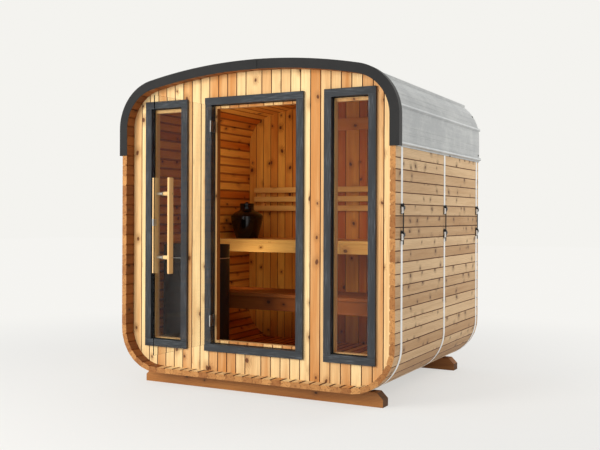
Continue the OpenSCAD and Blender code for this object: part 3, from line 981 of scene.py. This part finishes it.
# corners of the folded parts are out from the band's skin, along Y, and up from each bracket's foot
tensionerSet = {"levels": (1.073, 1.243), "plate": 0.042, "plateTall": 0.066, "plateThick": 0.004,
                "lug": ((0.003, -0.004, 0.028), (0.0165, 0.019, 0.052)), "lugWall": 0.003, "lugHollow": 0.008,
                "loop": ((0.0035, -0.0185, 0.004), (0.0125, -0.0045, 0.046)), "fold": 0.005,
                "rodOut": 0.010, "rod": 0.004, "rodLong": 0.262, "rodMiddle": 1.181,
                "nut": 0.0075, "nutTall": 0.007,
                "rivetApart": 0.013, "rivetUp": 0.012, "bandEnds": (1.078, 1.262)}
bandMiddles = [shell["front"] + 0.105, shell["front"] + 0.5245 * (shell["rear"] - shell["front"]),
               shell["rear"] - 0.059]


def foldedBlock(name, corner, sizes):
    # block with its two outer edges rounded, as a folded strap's are
    low, high = ([a + b for a, b in zip(corner, size)] for size in sizes)
    block = startBlock(name, low, high)
    bevelEdges(block, lambda a, b: near(a.z, b.z) and near(a.x, high[0]) and near(b.x, high[0]),
               tensionerSet["fold"], 3)
    return block


def modelBracket(skin, z):
    # plate, lug with a hollow under it, a nut above and below the lug, and two rivets
    half, thick = tensionerSet["plate"] / 2, tensionerSet["plateThick"]
    plate = startBlock("plate", (skin, -half, z), (skin + thick, half, z + tensionerSet["plateTall"]))
    bevelEdges(plate, lambda a, b: abs(a.x - b.x) > 0.003, 0.006, 3)
    softenEdges(plate, 0.0007, 1, 50)
    lug = foldedBlock("lug", (skin, 0, z), tensionerSet["lug"])
    drawOut(lug, lambda c, n: n.z < -0.9, (0, 0, tensionerSet["lugHollow"]), tensionerSet["lugWall"])
    parts = [plate, lug]
    tall = tensionerSet["nutTall"]
    for (out, y, up), side in zip(tensionerSet["lug"], (-1, 1)):
        spot = (skin + tensionerSet["rodOut"], 0, z + up + side * tall / 2)
        nut = startRound("nut", spot, tensionerSet["nut"], tall, 6)
        softenEdges(nut, 0.0008, 2, 40)
        parts.append(nut)
    for side in (-1, 1):
        spot = (skin + thick + 0.0005, side * tensionerSet["rivetApart"], z + tensionerSet["rivetUp"])
        rivet = startRound("rivet", spot, 0.004, 0.003, 12, "X")
        softenEdges(rivet, 0.001, 2, 40)
        parts.append(rivet)
    return parts


def modelTensioners():
    # one tensioner at the right side, then twins for the other bands and the other side
    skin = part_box("steel_bands")[1].x
    parts, loops = [], []
    for z in tensionerSet["levels"]:
        parts += modelBracket(skin, z)
        # the band's bright folded end, over the plate and under the nuts
        loop = foldedBlock("loop", (skin, 0, z), tensionerSet["loop"])
        softenEdges(loop, 0.0005, 1, 60)
        loops.append(loop)
    loopModel = joined(loops, "loopModel")
    spot = (skin + tensionerSet["rodOut"], 0, tensionerSet["rodMiddle"])
    rod = startRound("rod", spot, tensionerSet["rod"], tensionerSet["rodLong"], 16)
    softenEdges(rod, 0.0008, 1, 40)
    model = joined(parts + [rod], "tensionerModel")
    smooth(model, 35)
    copies, folds = [], []
    for turn, y in itertools.product((0, math.pi), bandMiddles):
        place = Matrix.Translation((0, y, 0)) @ Matrix.Rotation(turn, 4, "Z")
        copies.append(twin(model, "tensioner", matrix=place))
        folds.append(twin(loopModel, "fold", matrix=place))
    discard(model, loopModel)
    finishPiece(joined(folds, "bandLoops"), "band", "band_steel")
    finishPiece(joined(copies, "bandTensioners"), "black", "black_paint", "band_tensioners")


def splitBands():
    # each band stops inside its two brackets, with only the rod between them
    low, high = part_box("steel_bands")
    z0, z1 = tensionerSet["bandEnds"]
    bands = nodeCopy("steel_bands")
    for side in (1, -1):
        x0, x1 = sorted((side * (high.x - 0.02), side * (high.x + 0.03)))
        cutBy(bands, startBlock("bandGap", (x0, low.y - 0.05, z0), (x1, high.y + 0.05, z1)), "DIFFERENCE")
    bands.name = "steelBands"
    smooth(bands, 30)
    finishPiece(bands, "band", "band_steel", "steel_bands")


modelTensioners()
splitBands()
print("tensioners made")

# the roof sheet's skin over the staves, and the angle from one rib of the crown to the next
roofSet = {"skin": 0.0055, "ribStep": 3.4}


def overShoulder(side, angle):
    return (Matrix.Translation((side * shoulderX, 0, shell["shoulderZ"]))
            @ Matrix.Rotation(math.radians(side * (90 - angle)), 4, "Y")
            @ Matrix.Translation((0, 0, shell["shoulderRadius"] + roofSet["skin"])))


def overCrown(ribs):
    return (Matrix.Translation((0, 0, crownZ))
            @ Matrix.Rotation(math.radians(ribs * roofSet["ribStep"]), 4, "Y")
            @ Matrix.Translation((0, 0, crownRadius + roofSet["skin"])))


def besideWall(side, z):
    return (Matrix.Translation((side * (shell["half"] + roofSet["skin"]), 0, z))
            @ Matrix.Rotation(math.radians(side * 90), 4, "Y"))


screwSet = {"radius": 0.0048, "high": 0.0035, "washer": 0.0075, "washerHigh": 0.0012, "fromRear": 0.02,
            "lipMiddle": (0.90, 1.6705), "sideRear": 1.722, "shoulder": (32.0, 74.0),
            "crown": (-2.5, -1.5, -0.5, 0.5, 1.5, 2.5), "rows": (-0.02, 0.75)}


def setScrews():
    # hex heads on washers, modelled once pointing up and turned to each face
    base = screwSet["washerHigh"]
    washer = startRound("washer", (0, 0, base / 2), screwSet["washer"], base, 16)
    head = startRound("head", (0, 0, base + screwSet["high"] / 2), screwSet["radius"], screwSet["high"], 6)
    softenEdges(head, 0.0006, 1, 40)
    model = joined([washer, head], "screwModel")
    rear = shell["rear"] - screwSet["fromRear"]
    spots = []
    for side in (1, -1):
        for y, z in (screwSet["lipMiddle"], (rear, screwSet["sideRear"])):
            spots.append((y, besideWall(side, z)))
        spots += [(rear, overShoulder(side, angle)) for angle in screwSet["shoulder"]]
    spots += [(y, overCrown(k)) for k in screwSet["crown"] for y in (*screwSet["rows"], rear)]
    copies = []
    for y, over in spots:
        turn = over.col[2].xyz.to_track_quat("Z", "Y").to_matrix().to_4x4()
        place = Matrix.Translation(over.translation + Vector((0, y, 0)))
        copies.append(twin(model, "screw", matrix=place @ turn))
    discard(model)
    finishPiece(joined(copies, "roofScrews"), "black", "roof_steel")


creaseSet = {"half": 0.002, "high": 0.0013, "ease": 0.0011, "inset": 0.001, "capHalf": 0.0048,
             "capRange": (0.0140, 0.0158), "ribs": (11.5, 54.0), "lip": 0.024,
             "shoulder": (20.0, 27.0, 38.0, 41.0, 44.0, 47.0, 62.0, 70.0), "highlightRange": (30, 50),
             "side": (1.752, 1.764, 1.800), "crown": (-2.66, -2.33, -1.66, -1.33, -0.66, -0.33)}


def foldCreases():
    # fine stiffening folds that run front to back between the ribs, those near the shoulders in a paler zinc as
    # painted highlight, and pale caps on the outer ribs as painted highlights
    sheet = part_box("roof_sheet")
    y0, y1 = sheet[0].y + creaseSet["inset"], sheet[1].y - creaseSet["inset"]
    half = creaseSet["half"]
    crease = startBlock("creaseModel", (-half, y0, -0.001), (half, y1, creaseSet["high"]))
    bevelEdges(crease, lambda a, b: a.z > 0 and b.z > 0 and abs(a.y - b.y) > 0.5, creaseSet["ease"], 2)
    z0, z1 = creaseSet["capRange"]
    cap = startBlock("capModel", (-creaseSet["capHalf"], y0, z0), (creaseSet["capHalf"], y1, z1))
    softenEdges(cap, 0.0004, 1)
    caps, plain, bright = [], [], []
    for side in (1, -1):
        caps += [overShoulder(side, angle) for angle in creaseSet["ribs"]]
        caps.append(besideWall(side, sheet[0].z + creaseSet["lip"]))
        # folds within this range of angles take the paler zinc as painted highlight
        for angle in creaseSet["shoulder"]:
            low, high = creaseSet["highlightRange"]
            (bright if low < angle < high else plain).append(overShoulder(side, angle))
        plain += [besideWall(side, z) for z in creaseSet["side"]]
    crown = creaseSet["crown"]
    plain += [overCrown(k) for k in (*crown, *(-k for k in reversed(crown)))]
    for model, places, name, look in ((cap, caps, "ribCapHighlights", "crease"),
                                      (crease, plain, "roofCreases", "roof"),
                                      (crease, bright, "roofFoldHighlights", "crease")):
        finishPiece(joined([twin(model, "fold", matrix=place) for place in places], name), look, "roof_steel")
    discard(crease, cap)


setScrews()
foldCreases()
print("roof screws and creases set")

seamSet = {"sleeve": 0.085, "proud": 0.0016, "tall": 0.068, "lip": 0.004, "under": 0.0004,
           "line": (0.0002, 0.0072), "shadowProud": 0.0008, "shadowTall": 0.067}


def coverSeam():
    # sleeve over the joint of the two trim pieces at the front, with a dark strip beside it as painted shadow
    # of the overlap
    low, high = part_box("front_trim_left")
    seam, top = high.x, high.z - seamSet["under"]
    left, front = seam - seamSet["sleeve"], low.y - seamSet["proud"]
    face = startBlock("seamFace", (left, front, high.z - seamSet["tall"]), (seam, low.y + 0.001, top))
    softenEdges(face, 0.0008, 2)
    cap = startBlock("seamCap", (left, front, high.z - seamSet["lip"]), (seam, high.y, top))
    softenEdges(cap, 0.0006, 1)
    finishPiece(joined([face, cap], "trimSleeve"), "trim", "charcoal_paint")
    # a dark strip next to the sleeve's end: painted shadow of the overlap
    start, end = seamSet["line"]
    line = startBlock("trimSeamShadow", (seam + start, low.y - seamSet["shadowProud"], high.z - seamSet["shadowTall"]),
                      (seam + end, low.y + 0.001, top - seamSet["under"]))
    finishPiece(line, "rubber", "charcoal_paint")


coverSeam()

sealSet = {"low": (0.0104, 0.0053, 0.002), "high": (0.0126, 0.0136, -0.002)}


def plugHandles():
    # made on a door that lies along X from its hinge, then turned to the open door's place
    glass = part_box("door_glass")
    reach = handleSet["reach"]
    wood, steel, plugs = [], [], []
    for side in (-1, 1):
        z = handleSet["middle"] + side * handleSet["spread"]
        for (start, end, radius), group in ((handleSet["wood"], wood), (handleSet["steel"], steel)):
            standoff = startRound("standoff", (reach, (start + end) / 2, z), radius, end - start, 24, "Y")
            bevelEdges(standoff, lambda a, b: near(a.y, b.y), 0.0012, 2)
            group.append(standoff)
        collar = startRound("collar", (reach, 0.003, z), handleSet["collar"], 0.004, 24, "Y")
        softenEdges(collar, 0.0008, 2, 40)
        steel.append(collar)
        for y in handleSet["plugSides"]:
            plug = startRound("plug", (reach, y, z), handleSet["plug"], 0.0012, 16, "Y")
            softenEdges(plug, 0.0003, 1, 40)
            plugs.append(plug)
    # dark seal along the pane's hinge edge
    (x0, y0, lift), (x1, y1, drop) = sealSet["low"], sealSet["high"]
    seal = startBlock("doorSeal", (x0, y0, glass[0].z + lift), (x1, y1, glass[1].z + drop))
    softenEdges(seal, 0.0005, 1)
    hinge = Vector(frame["joints"][0]["pos_m"])
    place = Matrix.Translation((hinge.x, hinge.y, 0)) @ Matrix.Rotation(math.radians(handleSet["open"]), 4, "Z")
    for group, name, look, slot, replaced in (
            ([seal], "doorSeal", "rubber", "charcoal_paint", []),
            (wood, "standoffsInner", "handle", "handle_wood", ["handle_standoffs"]),
            (steel, "standoffsOuter", "fitting", "fitting_steel", []),
            (plugs, "barPlugs", "rubber", "handle_wood", [])):
        piece = joined(group, name)
        if look == "handle":
            markGrain(piece, 1, 0)
        piece.data.transform(place)
        smooth(piece, 35)
        finishPiece(piece, look, slot, *replaced, body="door")


plugHandles()
print("handles finished")

# carried-over parts take their finish straight
carried = {"window_glass": "pane", "door_glass": "door", "roof_sheet": "roof", "front_trim_left": "trim",
           "front_trim_right": "trim", "hinge_plates": "fitting", "hinge_leaves": "fitting",
           "door_catch": "fitting"}
for node, look in carried.items():
    dress(nodes[node], finishes[look])
for mark in slotMarks:
    bpy.data.materials.remove(mark)

# pale floor and soft studio light; backdrops show plainly to the camera, in panes and in shiny parts
stageSet = {"floor": (0.82, 0.815, 0.8, 1), "floorShown": (0.915, 0.905, 0.875, 1), "floorGlow": 0.62,
            "sky": (0.93, 0.96, 1.0, 1), "skyPower": 0.64, "skyShown": (0.905, 0.896, 0.863, 1)}
shownRays = ("Is Camera Ray", "Is Transmission Ray", "Is Glossy Ray")


def layStudioFloor():
    clearSelection()
    bpy.ops.mesh.primitive_plane_add(size=60, location=(0, 0, 0))
    floor = bpy.context.object
    floor.name = "studioFloor"
    b = nodeBench("studioFloor")
    shaded = b.feed(b.put("BsdfDiffuse"), Color=stageSet["floor"])
    shown = b.feed(b.put("Emission"), Color=stageSet["floorShown"], Strength=1.0)
    far = b.reach(b.put("TexCoord").outputs["Object"])
    share = b.math("MULTIPLY", b.onRays(*shownRays), b.span(far, 2.0, 5.5, stageSet["floorGlow"], 1.0))
    dress(floor, b.close(b.mixed(share, shaded, shown)))


def hangSky():
    scene.world = bpy.data.worlds.new("studioWorld")
    b = nodeBench("studioWorld", scene.world)
    soft = b.feed(b.put("Background"), Color=stageSet["sky"], Strength=stageSet["skyPower"])
    shown = b.feed(b.put("Background"), Color=stageSet["skyShown"], Strength=1.0)
    b.close(b.mixed(b.onRays(*shownRays), soft, shown), "OutputWorld")


def softLamp(name, place, target, size, power, colour):
    lamp = bpy.data.objects.new(name, bpy.data.lights.new(name, "AREA"))
    lamp.data.shape = "RECTANGLE"
    lamp.data.size, lamp.data.size_y = size
    lamp.data.energy = power
    lamp.data.color = colour
    lamp.location = place
    lamp.rotation_euler = (Vector(target) - Vector(place)).to_track_quat("-Z", "Y").to_euler()
    # seen by nothing but the light it gives, also by way of the panes
    lamp.visible_camera = lamp.visible_glossy = lamp.visible_transmission = False
    scene.collection.objects.link(lamp)


layStudioFloor()
hangSky()
softLamp("keyLamp", (-2.8, -6.2, 2.9), (0, 0, 1.1), (3.2, 3.2), 440, (1.0, 0.97, 0.92))
softLamp("fillLamp", (3.4, 3.1, 2.5), (1.0, 1.1, 1.2), (1.8, 1.8), 43, (1.0, 0.98, 0.95))
# weak soft light inside the room, over the upper bench and between the benches
softLamp("roomLampHigh", (-0.6, 0.85, 1.75), (-0.78, 1.57, 1.75), (0.4, 0.5), 1.15, (1.0, 0.93, 0.82))
softLamp("roomLampLow", (-0.62, 0.72, 0.80), (-0.75, 1.57, 0.78), (0.3, 0.1), 0.92, (1.0, 0.93, 0.82))
print("stage lit")

scene.view_settings.view_transform = "Standard"
clearSelection()
bpy.context.view_layer.update()
